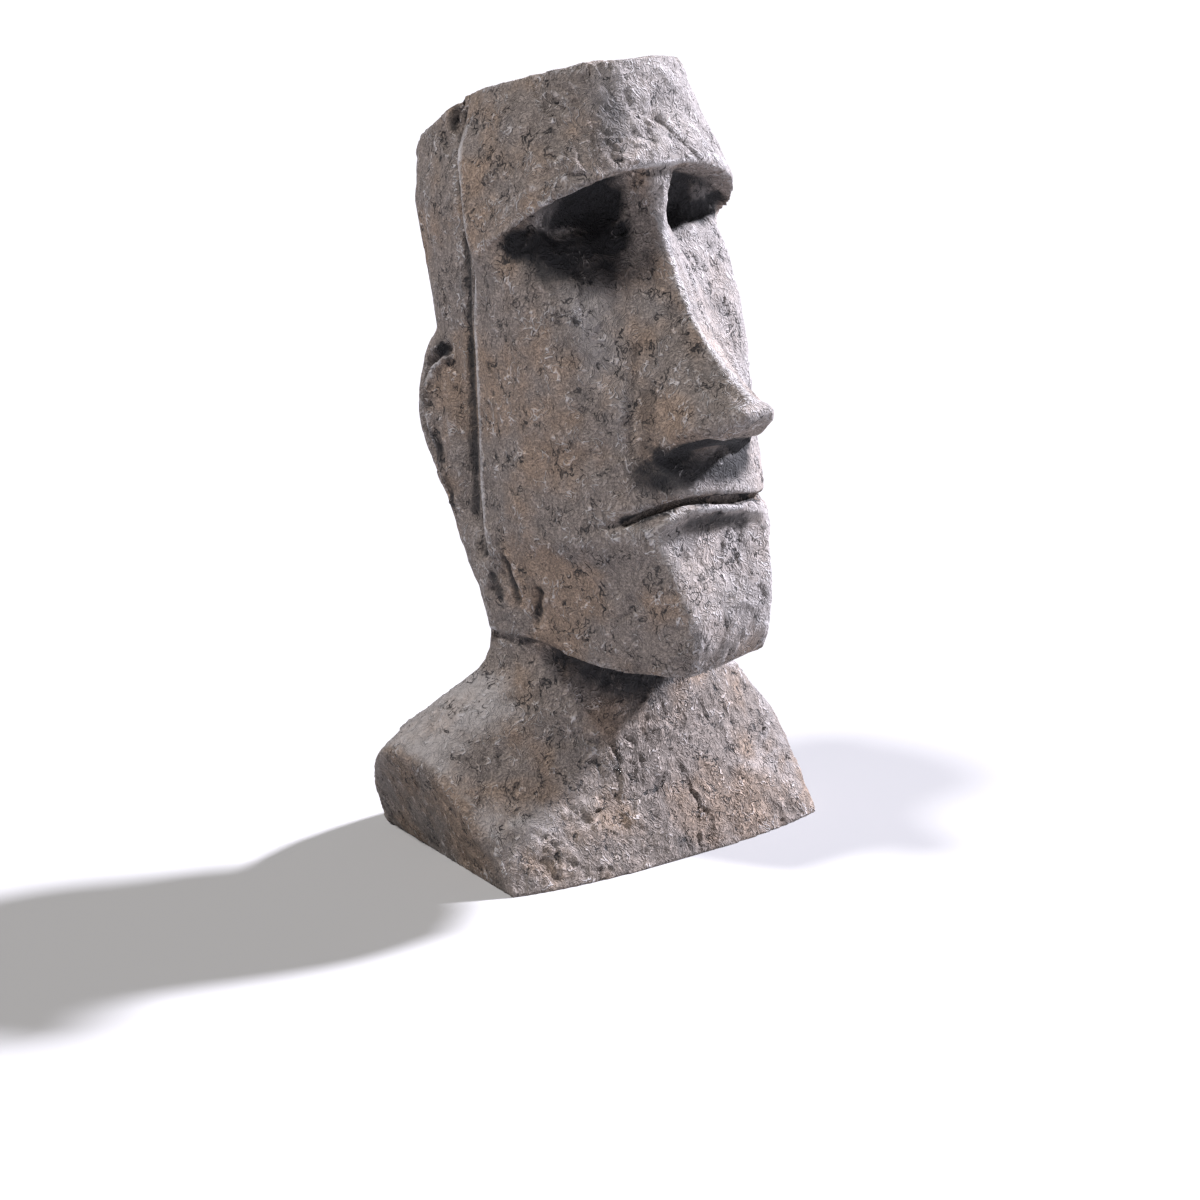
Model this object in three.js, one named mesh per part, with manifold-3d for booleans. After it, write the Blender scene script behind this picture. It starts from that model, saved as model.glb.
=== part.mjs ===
// Moai bust, a small desk statue: a long leaning head on sloping shoulders, cast in one piece.
// Millimetres, +Z up, the face looks toward -Y, +X is the statue's own left.
// Origin: centre of the underside's bounding rectangle, on the flat it stands on.
import * as THREE from "three";
import { mergeVertices } from "three/addons/utils/BufferGeometryUtils.js";
import Module from "manifold-3d";

const wasm = await Module();
wasm.setup();

// ---- driving sizes ----
const CROWN_SLOPE = 0.25;    // the crown falls toward the back, mm per mm
const SLAB_SLOPE = 0.3;      // and this much more behind the groove
const AXIS_Y = 33;           // upright axis the sections are drawn round
const AXIS_TOP = 45;         // in the crown it leans back to here
const BROW_Z = 190.5;        // lower edge of the brow over the nose
const BROW_DROP = 8.5;       // how far the brow falls by the time it reaches BROW_HALF
const BROW_HALF = 35;
const MOUTH_Z = 104;         // slit at the middle
const MOUTH_HALF = 31;       // half the mouth's width
const MOUTH_DROP = 5;        // the corners hang this much lower
const CHIN_TILT = 0.14;      // the chin's lower edge rises toward the statue's left, mm per mm
const FOOT_HALF = 54.8;      // half-width of the underside at its front corners
const END_TAPER = 0.165;     // the underside narrows toward the back, mm per mm
const END_LEAN = 0.3;        // the shoulder ends lean out toward the top, mm per mm
const BACK_LEAN = 0.13;      // and this much more at the back
const FACET = 0.03;          // facets closer to flat than this are joined

// ---- small helpers ----
const deg = Math.PI / 180;
const clamp = (t, a = 0, b = 1) => Math.min(b, Math.max(a, t));
const mix = (a, b, t) => a + (b - a) * t;
const step = (a, b, x) => { const t = clamp((x - a) / (b - a)); return t * t * (3 - 2 * t); };
const bell = (x, w) => Math.exp(-((x / w) ** 2));

// smooth minimum and maximum: like min and max, with the corner rounded over a length k
const smin = (a, b, k) => {
  const h = clamp(0.5 + (0.5 * (b - a)) / k);
  return mix(b, a, h) - k * h * (1 - h);
};
const smax = (a, b, k) => -smin(-a, -b, k);

// a profile given as [height, value] stations, joined by a monotone cubic
function profile(stations) {
  const n = stations.length;
  const slope = (i) =>
    (stations[i + 1][1] - stations[i][1]) / (stations[i + 1][0] - stations[i][0]);
  const tangent = (i) => {
    if (i === 0) return slope(0);
    if (i === n - 1) return slope(n - 2);
    const a = slope(i - 1), b = slope(i);
    return a * b <= 0 ? 0 : (2 * a * b) / (a + b);
  };
  return (z) => {
    if (z <= stations[0][0]) return stations[0][1];
    if (z >= stations[n - 1][0]) return stations[n - 1][1];
    let i = 0;
    while (z > stations[i + 1][0]) i++;
    const [z0, v0] = stations[i], [z1, v1] = stations[i + 1];
    const h = z1 - z0, t = (z - z0) / h;
    const m0 = tangent(i) * h, m1 = tangent(i + 1) * h;
    return v0 * (1 + 2 * t) * (1 - t) ** 2 + m0 * t * (1 - t) ** 2
      + v1 * t * t * (3 - 2 * t) + m1 * t * t * (t - 1);
  };
}

// ---- the head, section by section ----
// Heights in these profiles are nominal: brow, nose and mouth are first drawn level, and sag()
// then bends each of them to its own line.
const axisY = profile([[150, AXIS_Y], [190, AXIS_Y + 4], [220, AXIS_TOP]]);
// direction of the groove's floor from the axis, in degrees from straight ahead
const groove = profile([[95, 92], [148, 92], [162, 87.5], [178, 85], [190, 87], [197, 90.5],
  [204, 95.5], [220, 95.5]]);
// half-width of the face block where its sides end, at the groove
const sideHalf = profile([[58, 35.5], [75, 37], [104, 38], [135, 38.5], [165, 39.5], [190, 41],
  [200, 37.5], [210, 32], [220, 27.5]]);
// the face beside the nose; under the mouth, where the jaw's two sides would meet without a chin
const cheekY = profile([[58, -47], [66, -50], [80, -51], [92, -40], [98, -33], [104, -23.5],
  [111, -23], [117, -20.5], [124, -17.5], [135, -13.5], [150, -8], [158, -4.5], [166, 0], [174, 5],
  [183, 9.5], [192, 9]]);
const foreheadY = profile([[180, -3], [190, -3], [205, 2.5], [220, 6]]);
// the flat front of the chin
const shieldY = profile([[58, -27.5], [63, -29.5], [71, -30], [80, -28], [92, -24], [98, -22.5],
  [104, -24], [110, -27], [117, -34]]);
// roundness of the plan: 2 an ellipse, 4 nearly square, below 1.5 nearly a wedge
const plan = profile([[58, 1.25], [66, 1.25], [80, 1.3], [92, 1.6], [98, 1.95], [104, 2.3],
  [117, 2.4], [124, 2.55], [135, 2.8], [150, 2.9], [170, 3.1], [190, 3], [205, 2.6], [220, 2.5]]);
// back of the head and half-width of the slab behind the groove
const backY = profile([[58, 41], [75, 46], [95, 55], [144, 62], [175, 70], [220, 78]]);
const slabHalf = profile([[58, 34], [76, 36], [88, 36], [98, 34.5], [165, 35.5], [184, 35],
  [205, 31], [220, 28]]);
// ridge of the nose, half its breadth along the ridge and where it meets the cheeks
const noseY = profile([[117, -35], [118.5, -38.5], [121, -41], [124, -41.2], [128, -39],
  [131, -37], [135, -33.5], [140, -28], [146, -20.5], [151, -15], [160, -9], [167, -5.5], [178, -2],
  [192, -2]]);
const ridgeHalf = profile([[117, 6.5], [124, 6], [134, 4.5], [151, 2.2], [170, 2], [184, 3.5], [192, 6]]);
const noseHalf = profile([[117, 19], [124, 19], [130, 18], [142, 14.5], [151, 12], [167, 9],
  [178, 8], [186, 11], [192, 16]]);
const NOSE_Z = 117;          // nominal height of the nose's underside

// distance from the axis to the surface, toward angle a (0 ahead, PI back) at nominal height z
function reach(a, z) {
  const mid = axisY(z);
  const s = Math.abs(Math.sin(a)), c = Math.cos(a);
  const ray = (half, depth, p) =>
    1 / ((s / half) ** p + (Math.abs(c) / depth) ** p) ** (1 / p);
  const past = Math.abs(a) / deg - groove(z);
  const half = mix(sideHalf(z), slabHalf(z), step(-4.6, 1.7, past));
  const dip = 3 * bell(past, 4) * step(84, 96, z);
  if (c <= 0) return ray(half, backY(z) - mid, mix(2.2, 5, step(0, 0.5, -c))) - dip;
  const p = plan(z);
  const high = ray(half, mid - foreheadY(z), p);
  const low = mix(ray(half, mid - cheekY(z), p), high, step(0.86, 1, s) * step(150, 186, z));
  const x0 = low * s;
  // under the brow the sockets are scooped out, deepest beside the nose
  const hollow = (4.5 * bell(x0 - 19, 9) * bell(z - 181, 12) + 2.5 * bell(x0 - 15, 7)
    * step(138, 156, z) * (1 - step(170, 184, z))) * (1 - step(0.4, 0.8, s));
  let r = mix(low - hollow, high, step(BROW_Z - 0.6, BROW_Z + 0.6, z));
  // the nose: a wedge with a blunt ridge, cut off below
  if (z > NOSE_Z && z < BROW_Z + 6) {
    const yn = noseY(z), wn = noseHalf(z), ridge = ridgeHalf(z);
    const foot = mid - ray(half, mid - cheekY(z), p) * Math.cos(Math.asin(wn / half));
    const k = (wn - ridge) / Math.max(foot - yn, 2);
    const flank = (ridge + (mid - yn) * k) / (s + k * c);
    const nose = smin(flank, (mid - yn) / c, 2.5);
    const keep = (1 - step(BROW_Z - 2, BROW_Z + 5, z)) * (1 - step(wn + 1, wn + 6, x0));
    r = mix(r, smax(r, nose, 2), keep);
  }
  // chin: a flat shield in front, its edges running down and in
  if (z < NOSE_Z) r = smin(r, (mid - shieldY(z)) / c, 1 + 4 * step(95, 112, z));
  // lips: two thin ledges and the slit between them
  const d = z - MOUTH_Z, span = 1 - step(MOUTH_HALF - 8, MOUTH_HALF + 2, r * s);
  return r + span * (1.2 * bell(d - 2.6, 1.6) + 1.4 * bell(d + 2.4, 1.8) - 1.3 * bell(d, 0.9))
    - dip;
}

// how far a place at nominal height zn, off the middle by x and forward at y, is moved up
function sag(x, y, zn) {
  const t = Math.abs(x);
  const brow = -BROW_DROP * (t / BROW_HALF) ** 2 - 6 * step(32, 42, t);
  // the mouth is crooked: highest on the right, falling slowly to the left
  const m = x + 6;
  const mouth = 1.6 - (m < 0 ? Math.min(0.0145 * m * m, MOUTH_DROP + 2) : 0.18 * m * m / (m + 4));
  const nose = 0.34 * clamp(-17 - y, 0, 28);
  const jaw = 6.5 * step(-12, 30, y) + (2.6 + CHIN_TILT * x) * step(-14, -30, y);
  const ahead = 1 - step(AXIS_Y - 10, AXIS_Y + 12, y);
  const crown = CROWN_SLOPE * (y - 8) + SLAB_SLOPE * Math.max(0, y - 50) + 1.5 * step(48, 52, y);
  return ahead * (brow * step(150, BROW_Z, zn) * (1 - step(BROW_Z, 216, zn))
    + mouth * step(84, 103, zn) * (1 - step(105, 126, zn))
    + nose * step(108, 116, zn) * (1 - step(118, 141, zn)))
    + jaw * (1 - step(58, 92, zn)) - crown * step(165, 219.5, zn);
}

// rows lie closest where brow, nose and mouth turn sharply
const ROWS = [58, 60, 63, 68, 74, 80, 86, 91, 95, 98.5, 100.8, 102.4, 103.5, 104.5, 105.8, 107.6,
  110, 113, 116, 116.95, 117.05, 118.5, 120.5, 123, 125.5, 128, 131, 135, 140, 146, 152, 158, 164,
  170, 176, 181, 185, 188, 189.8, 191.2, 193, 196.5, 201, 206, 211, 215.5, 219.5];
// columns follow the features: ridge of the nose, foot of the nose and edge of the chin, cheek,
// side, both lips of the groove, back corner; each with the columns that lead up to it
const LINES = [
  [2, profile([[58, 5], [97, 6], [117, 4], [130, 4.2], [151, 3], [180, 5], [220, 6]])],
  [5, profile([[58, 11.5], [66, 12.1], [80, 15], [92, 18.2], [98, 20.4], [106, 21.5], [117, 22],
    [130, 21], [142, 18.5], [151, 17], [167, 15.5], [180, 16], [192, 20], [220, 22]])],
  [8, () => 46], [7, (z) => groove(z) - 5.7], [1, (z) => groove(z) - 3], [1, groove],
  [2, (z) => groove(z) + 4.8],
  [4, () => 132], [4, () => 180]];
const HALF_COLUMNS = LINES.reduce((n, [k]) => n + k, 0);
function turn(j, z) { // j from -HALF_COLUMNS to HALF_COLUMNS
  let left = Math.abs(j), from = 0;
  for (const [n, at] of LINES) {
    const to = at(z);
    if (left <= n) return Math.sign(j) * mix(from, to, left / n) * deg;
    left -= n;
    from = to;
  }
  return Math.PI;
}

function headSolid() {
  const columns = 2 * HALF_COLUMNS, last = ROWS.length - 1;
  const g = new THREE.CylinderGeometry(1, 1, 1, columns, last, false);
  g.deleteAttribute("normal");
  g.deleteAttribute("uv");
  const m = mergeVertices(g, 1e-4), pos = m.attributes.position;
  for (let i = 0; i < pos.count; i++) {
    const v = new THREE.Vector3().fromBufferAttribute(pos, i);
    const zn = ROWS[Math.round((0.5 + v.y) * last)];
    let x = 0, y = axisY(zn);
    if (Math.hypot(v.x, v.z) > 0.5) {
      const a = turn(Math.round((Math.atan2(v.x, v.z) / Math.PI) * HALF_COLUMNS), zn);
      const r = reach(a, zn);
      x = r * Math.sin(a);
      y -= r * Math.cos(a);
    }
    pos.setXYZ(i, x, y, zn + sag(x, y, zn));
  }
  return solidOf(m);
}

// ---- ears: long shells on the slab, thick along the rim behind and thin toward the groove ----
function earSolid(side) {
  const g = new THREE.SphereGeometry(1, 26, 20);
  g.deleteAttribute("normal");
  g.deleteAttribute("uv");
  const m = mergeVertices(g, 1e-4), pos = m.attributes.position;
  for (let i = 0; i < pos.count; i++) {
    const v = new THREE.Vector3().fromBufferAttribute(pos, i);
    const t = (v.y + 1) / 2; // 0 at the lobe, 1 at the top of the rim
    const z = mix(87, 147, t);
    const width = 11 * mix(0.45, 1, step(0, 0.6, t));
    const y = mix(45, 51.5, step(0, 0.7, t)) + v.z * width;
    const rim = Math.hypot(v.z - 0.15, (t - 0.62) * 1.6);
    const shell = mix(3.5, 8, step(0, 0.7, t)) * (0.8 + 0.25 * v.z)
      - 2.6 * bell(rim - 0.38, 0.22) * step(-0.5, 0.1, v.z) * step(0.25, 0.5, t);
    pos.setXYZ(i, side * (33 + v.x * (v.x > 0 ? shell : 6)), y, z);
  }
  return solidOf(m);
}

// ---- casting faults on the statue's right: a notch in the crown, pits below the ear ----
function pitSolid(x, y, z, rx, ry, rz, tilt) {
  const g = new THREE.SphereGeometry(1, 9, 6);
  g.deleteAttribute("normal");
  g.deleteAttribute("uv");
  const m = mergeVertices(g, 1e-4);
  m.scale(rx, ry, rz);
  m.rotateX(tilt);
  m.translate(x, y, z);
  return solidOf(m);
}

// ---- shoulders and neck: one flare drawn level by level, trimmed to the footprint ----
const flareHalf = profile([[0, 88], [12.5, 80], [21, 73], [27.5, 67], [31, 63.5], [36, 58],
  [41, 51.5], [47, 41.7], [53, 35.6], [58, 34], [64, 34], [76, 34]]);
const flareFront = profile([[0, 42], [12.5, 37], [21, 33], [31, 29.5], [45, 26], [58, 23.5],
  [76, 23.5]]);
const flareBack = profile([[0, 47], [12, 45.5], [20, 43], [28, 39], [36, 32], [45, 22], [53, 13],
  [58, 9], [76, 6]]);
const flarePlan = profile([[0, 2.4], [12.5, 2.1], [21, 1.8], [31, 1.75], [45, 2.1], [55, 2.6],
  [76, 2.8]]);
const LEVELS = [0, 6, 12, 17, 21, 24.5, 28, 31, 34, 38, 42, 46, 50, 54, 58, 64, 76];

function flareSolid() {
  const columns = 60, last = LEVELS.length - 1;
  const g = new THREE.CylinderGeometry(1, 1, 1, columns, last, false);
  g.deleteAttribute("normal");
  g.deleteAttribute("uv");
  const m = mergeVertices(g, 1e-4), pos = m.attributes.position;
  for (let i = 0; i < pos.count; i++) {
    const v = new THREE.Vector3().fromBufferAttribute(pos, i);
    const z = LEVELS[Math.round((0.5 + v.y) * last)], rad = Math.hypot(v.x, v.z);
    let x = 0, y = AXIS_Y;
    if (rad > 0.5) {
      const s = Math.abs(v.x), c = v.z, p = c > 0 ? flarePlan(z) : 2.3;
      const depth = c > 0 ? flareFront(z) : flareBack(z);
      const r = 1 / ((s / flareHalf(z)) ** p + (Math.abs(c) / depth) ** p) ** (1 / p);
      x = r * v.x;
      y = AXIS_Y - r * c;
    }
    // ahead of their highest place the shoulders fall away toward the ends
    const fall = (1.2 * step(0, 8, y) + 2.5 * step(17, 26, y)) * (1 - step(36, 47, y));
    pos.setXYZ(i, x, y, z - fall * step(44, 58, Math.abs(x)) * step(8, 22, z));
  }
  return solidOf(m);
}

// what the flare is trimmed to: the ends narrow toward the back and lean out toward the top
function trimSolid() {
  const g = new THREE.BoxGeometry(2, 2, 2, 12, 14, 4);
  g.deleteAttribute("normal");
  g.deleteAttribute("uv");
  const m = mergeVertices(g, 1e-4), pos = m.attributes.position;
  for (let i = 0; i < pos.count; i++) {
    const u = pos.getX(i), w = (pos.getY(i) + 1) / 2, h = (pos.getZ(i) + 1) / 2;
    const y = mix(-20, 100, w), z = 90 * h;
    const lean = END_LEAN * step(-8, 16, y) + BACK_LEAN * step(16, 58, y);
    pos.setXYZ(i, u * (FOOT_HALF - END_TAPER * (y - 2) + lean * z), y, z);
  }
  return solidOf(m);
}

// ---- turning geometries into solids and back ----
function flip(g) {
  const idx = g.index.array;
  for (let i = 0; i < idx.length; i += 3) [idx[i + 1], idx[i + 2]] = [idx[i + 2], idx[i + 1]];
  return g;
}
function solidOf(g) {
  let made = new wasm.Manifold(new wasm.Mesh({
    numProp: 3,
    vertProperties: new Float32Array(g.attributes.position.array),
    triVerts: new Uint32Array(g.index.array),
  }));
  if (made.volume() < 0) {
    flip(g);
    made = new wasm.Manifold(new wasm.Mesh({
      numProp: 3,
      vertProperties: new Float32Array(g.attributes.position.array),
      triVerts: new Uint32Array(g.index.array),
    }));
  }
  return made;
}
function geometryOf(solid) {
  const mesh = solid.getMesh();
  const g = new THREE.BufferGeometry();
  g.setAttribute("position", new THREE.BufferAttribute(mesh.vertProperties, 3));
  g.setIndex(new THREE.BufferAttribute(mesh.triVerts, 1));
  return g;
}

// ---- put together ----
let body = headSolid().add(flareSolid().intersect(trimSolid()));
for (const side of [-1, 1]) body = body.add(earSolid(side));
for (const pit of [
  [-30.5, 50.5, 203, 2.4, 1.7, 4.5, 0.1],    // notch where groove and crown meet
  [-35.5, 35, 87, 2.2, 1.8, 3, 0],         // foot of the groove
  [-36, 24, 80, 1.6, 1.3, 4.5, -0.45],     // gouges toward the jaw
  [-36, 30, 76.5, 1.3, 1.2, 2.4, -0.2],
  [-34.2, 13, 73, 1.6, 1.6, 3.6, 0.1],
]) body = body.subtract(pitSolid(...pit));
body = body.simplify(FACET);
const geometry = geometryOf(body);
geometry.computeBoundingBox();
const box = geometry.boundingBox;
geometry.translate(-(box.min.x + box.max.x) / 2, -(box.min.y + box.max.y) / 2, -box.min.z);
geometry.computeVertexNormals();

const stone = new THREE.MeshStandardMaterial({ color: "#7f756d", roughness: 0.82, metalness: 0 });
const bust = new THREE.Mesh(geometry, stone);
bust.name = "moai_bust";

const root = new THREE.Group();
root.add(bust);
export default root;
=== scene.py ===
# %% [markdown]
# # A small stone head
# The object is a desk-sized ancestor head of the island kind: a tall block of a head with a
# heavy brow, a long nose and long ears, standing on cut-off shoulders. It was cast in one
# piece from a clay original, so its skin keeps every scrape and fold of the clay.
#
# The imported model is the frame: its box, its planes and its place stay as they are. In this
# lesson a copy of it is remeshed, carved, roughened and painted, and stands for the plain one.

import math

import bpy
import numpy as np
from mathutils import Euler, Matrix, Vector
from mathutils.kdtree import KDTree


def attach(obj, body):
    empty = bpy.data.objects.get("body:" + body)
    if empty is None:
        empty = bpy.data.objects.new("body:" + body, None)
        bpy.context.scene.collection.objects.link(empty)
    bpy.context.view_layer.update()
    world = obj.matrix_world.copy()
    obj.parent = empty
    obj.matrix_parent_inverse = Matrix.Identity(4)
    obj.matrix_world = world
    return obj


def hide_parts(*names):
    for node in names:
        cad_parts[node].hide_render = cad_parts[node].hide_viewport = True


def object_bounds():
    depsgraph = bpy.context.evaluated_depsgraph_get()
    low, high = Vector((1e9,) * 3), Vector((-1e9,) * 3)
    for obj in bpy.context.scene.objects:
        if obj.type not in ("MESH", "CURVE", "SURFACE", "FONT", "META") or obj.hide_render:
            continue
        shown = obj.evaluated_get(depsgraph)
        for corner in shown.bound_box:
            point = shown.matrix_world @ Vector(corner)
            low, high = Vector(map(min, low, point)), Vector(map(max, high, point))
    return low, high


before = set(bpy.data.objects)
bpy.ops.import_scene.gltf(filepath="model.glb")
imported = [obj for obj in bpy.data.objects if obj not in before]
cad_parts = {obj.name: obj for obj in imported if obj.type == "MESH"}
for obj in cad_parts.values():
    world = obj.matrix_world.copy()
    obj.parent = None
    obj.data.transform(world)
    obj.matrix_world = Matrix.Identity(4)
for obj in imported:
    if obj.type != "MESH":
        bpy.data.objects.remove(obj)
cad_box = [list(corner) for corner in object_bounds()]
MM = 0.001
low, high = (np.array(corner) / MM for corner in cad_box)
print("the packed head fills, in mm,", low.round(1), "to", high.round(1))

# %% [markdown]
# ## Camera
# A long lens from almost a metre away keeps the tall block from leaning. The camera stands to
# the head's right and a little above the crown, and is rolled a hair about its own axis. It
# could be aimed with a Track To constraint, but a fixed place and three angles are plainer,
# and stay the same whatever is built.

# %% Camera
CAMERA_PLACE = (-0.5334, -0.6629, 0.2898)
CAMERA_TIP, CAMERA_TURN, CAMERA_ROLL = 75.46, -38.5, -1.158  # degrees
camera_data = bpy.data.cameras.new("camera")
camera_data.lens = 94.3
camera_data.sensor_width = 36.0
camera = bpy.data.objects.new("camera", camera_data)
bpy.context.scene.collection.objects.link(camera)
camera.matrix_world = (
    Matrix.Translation(CAMERA_PLACE)
    @ Euler((math.radians(CAMERA_TIP), 0.0, math.radians(CAMERA_TURN))).to_matrix().to_4x4()
    @ Matrix.Rotation(math.radians(CAMERA_ROLL), 4, "Z")
)
bpy.context.scene.camera = camera
print("camera", round(camera.location.length, 3), "m from the foot of the head")

# %% [markdown]
# ## Floor
# A plain pale floor. It does more than carry the shadow: light that falls on it comes back up
# under the brow and the chin, so its grey is chosen with care. A white floor would fill every
# hollow and flatten the head.


# %% Floor
def deselect():
    """Nothing stays selected, so that the next operator touches only what it is meant to."""
    if bpy.context.object and bpy.context.object.mode != "OBJECT":
        bpy.ops.object.mode_set(mode="OBJECT")
    bpy.ops.object.select_all(action="DESELECT")


deselect()
bpy.ops.mesh.primitive_plane_add(size=14.0)
floor = bpy.context.object
floor.name = "floor"
floor_paint = bpy.data.materials.new("pale floor")
floor_paint.use_nodes = True
floor_shader = floor_paint.node_tree.nodes["Principled BSDF"]
floor_shader.inputs["Base Color"].default_value = (0.44, 0.44, 0.45, 1.0)
floor_shader.inputs["Roughness"].default_value = 0.75
floor.data.materials.append(floor_paint)
print("floor", floor.dimensions.x, "m wide")

# %% [markdown]
# ## Light
# Relief shows in light that rakes. The key lamp stands on the head's left, only just in front
# of the plane of the face, so the front planes catch it at a slant and every scrape throws a
# small shadow. A smaller lamp from above wakes the shaded side, and a faint one from the
# camera opens the sockets. Sun lamps are used because their place doesn't matter: only their
# direction, and an angle of a few degrees that softens the shadows' edges.


# %% Light
def sun(name, direction, strength, angle, colour):
    """A far soft lamp: direction points from the head to the lamp, angle is in degrees."""
    data = bpy.data.lights.new(name, "SUN")
    data.energy = strength
    data.angle = math.radians(angle)
    data.color = colour
    lamp = bpy.data.objects.new(name, data)
    lamp.rotation_euler = Vector(direction).to_track_quat("Z", "Y").to_euler()
    bpy.context.scene.collection.objects.link(lamp)


rightward = Vector((0.783, -0.623, 0.0))  # to the right of the camera's view
away = Vector((0.623, 0.783, 0.0))  # away from the camera
up = Vector((0.0, 0.0, 1.0))
sun("key", rightward + 0.56 * away + 0.74 * up, 9.6, 4.5, (0.97, 0.96, 1.05))
sun("top", -0.42 * rightward - 0.2 * away + 1.0 * up, 2.8, 8.0, (1.0, 0.97, 0.94))
sun("fill", -0.15 * rightward - 1.0 * away + 0.1 * up, 0.15, 30.0, (1.0, 0.95, 0.9))
world = bpy.data.worlds.new("studio")
bpy.context.scene.world = world
world.use_nodes = True
sky = world.node_tree.nodes["Background"]
sky.inputs["Color"].default_value = (0.96, 0.97, 1.0, 1)
sky.inputs["Strength"].default_value = 0.1
bpy.context.scene.view_settings.view_transform = "Standard"
print("key, top and fill lamps and a pale world")

# %% [markdown]
# ## The blank
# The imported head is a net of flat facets. A voxel remesh turns a copy of it into an even
# skin of small squares, which is what carving and roughening need: the same fineness
# everywhere, and no long thin triangles. The facets come loose from the packer, so the copy
# is merged first: only then do two facets share an edge, which the next step looks for.

# %% Copy and merge
deselect()
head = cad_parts["moai_bust"].copy()
head.data = head.data.copy()
head.name = head.data.name = "stone_head"
head.parent = None
for key in list(head.keys()):
    del head[key]  # what the packer noted on its own node isn't true of the copy
bpy.context.scene.collection.objects.link(head)
head.data.materials.clear()
head.select_set(True)
bpy.context.view_layer.objects.active = head
bpy.ops.object.mode_set(mode="EDIT")
bpy.ops.mesh.select_all(action="SELECT")
bpy.ops.mesh.remove_doubles(threshold=0.01 * MM)
bpy.ops.object.mode_set(mode="OBJECT")
print("merged to", len(head.data.vertices), "vertices")

# %% [markdown]
# ## The edges of the block
# Brow, crown, nose and chin have edges that a thumb could feel, and the smoothing that melts
# the facets would melt them too. They are found here, before the remesh hides them: wherever
# two facets fold by more than some degrees, points are strung along the fold. A k-d tree then
# tells quickly how far any place is from the nearest of them.


# %% Mark the edges
def points(mesh):
    """The vertices of a mesh as an array, in mm."""
    co = np.empty(len(mesh.vertices) * 3, np.float32)
    mesh.vertices.foreach_get("co", co)
    return co.reshape(-1, 3).astype(np.float64) / MM


def fold_points(mesh, least, gap):
    """Points about gap mm apart along the edges that fold by more than least degrees."""
    faces = np.empty(len(mesh.polygons) * 3, np.float32)
    mesh.polygons.foreach_get("normal", faces)
    faces = faces.reshape(-1, 3)
    beside = {}
    for face in mesh.polygons:
        for key in face.edge_keys:
            beside.setdefault(key, []).append(face.index)
    co, found = points(mesh), []
    for (a, b), sides in beside.items():
        if len(sides) != 2 or faces[sides[0]] @ faces[sides[1]] >= math.cos(math.radians(least)):
            continue
        steps = int(np.linalg.norm(co[a] - co[b]) / gap) + 1
        found += [co[a] + (co[b] - co[a]) * s / steps for s in range(steps + 1)]
    return np.array(found)


FOLD_LEAST, FOLD_GAP = 27.0, 0.8  # degrees and mm
on_edges = fold_points(head.data, FOLD_LEAST, FOLD_GAP)
edge_finder = KDTree(len(on_edges))
for index, place in enumerate(on_edges):
    edge_finder.insert(place, index)
edge_finder.balance()
print(len(on_edges), "points on the edges")

# %% [markdown]
# ## Remesh and melt
# The grid of the remesh decides the finest mark that geometry can hold. At 0.62 mm it holds
# flakes and rolls of clay; what is finer is left to the material. After it, Smooth modifiers
# melt the facets: a strong one that a vertex group holds back near the edges, and a light
# one all over that takes the stair steps of the grid away.

# %% Remesh
GRID = 0.62  # mm
deselect()
head.select_set(True)
bpy.context.view_layer.objects.active = head
voxels = head.modifiers.new("voxels", "REMESH")
voxels.mode = "VOXEL"
voxels.voxel_size = GRID * MM
bpy.ops.object.modifier_apply(modifier="voxels")
print("remeshed to", len(head.data.polygons), "faces")


# %% Melt the facets
def step(x, low_end, high_end):
    """0 below low_end, 1 above high_end and a smooth rise between them."""
    t = np.clip((x - low_end) / (high_end - low_end), 0.0, 1.0)
    return t * t * (3 - 2 * t)


def melt(turns, held):
    """Smooths the skin, by the share that held (0 free to 1 fixed) leaves free."""
    free = head.vertex_groups.new(name="free")
    for tenth in range(1, 11):
        chosen = np.nonzero(np.ceil((1 - held) * 10) == tenth)[0]
        free.add(chosen.tolist(), tenth / 10, "REPLACE")
    smooth = head.modifiers.new("melt", "SMOOTH")
    smooth.factor = 0.5
    smooth.iterations = turns
    smooth.vertex_group = "free"
    bpy.ops.object.modifier_apply(modifier="melt")
    head.vertex_groups.clear()


STRONG_MELT, LIGHT_MELT = 9.0, 1.2  # square mm that the smoothing spreads over
to_edge = np.array([edge_finder.find(place)[2] for place in points(head.data)])
melt(int(STRONG_MELT / GRID**2), 0.9 * (1 - step(to_edge, 0.4, 2.6)))
melt(int(LIGHT_MELT / GRID**2), np.zeros(len(to_edge)))
print("facets melted;", round(float((to_edge < 2).mean()) * 100), "% is near an edge")

# %% [markdown]
# ## The carving tool
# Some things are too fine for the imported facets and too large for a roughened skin: the V of
# the groove, the lip line, the rim of the ear, the pits that air left in the mould. Each is
# one pass of a tool along a short path. A pass is a list of places in mm, a width and a
# depth, and it moves the skin along its own normal, as a loop tool does in clay. A negative
# depth lays a thin roll of clay on instead.
#
# Sculpt mode's brushes would do the same by hand, but they need a window. Numpy moves all the
# vertices at once, and gives the same result each time. Each place of a path first drops on
# to the nearest of the skin, so a path only needs to be right to a few millimetres.


# %% The carving tool
AS_DRAWN, MIRRORED, BOTH = (1,), (-1,), (-1, 1)


def normals(mesh):
    """The direction that each vertex faces."""
    no = np.empty(len(mesh.vertices) * 3, np.float32)
    mesh.vertex_normals.foreach_get("vector", no)
    return no.reshape(-1, 3).astype(np.float64)


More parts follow.
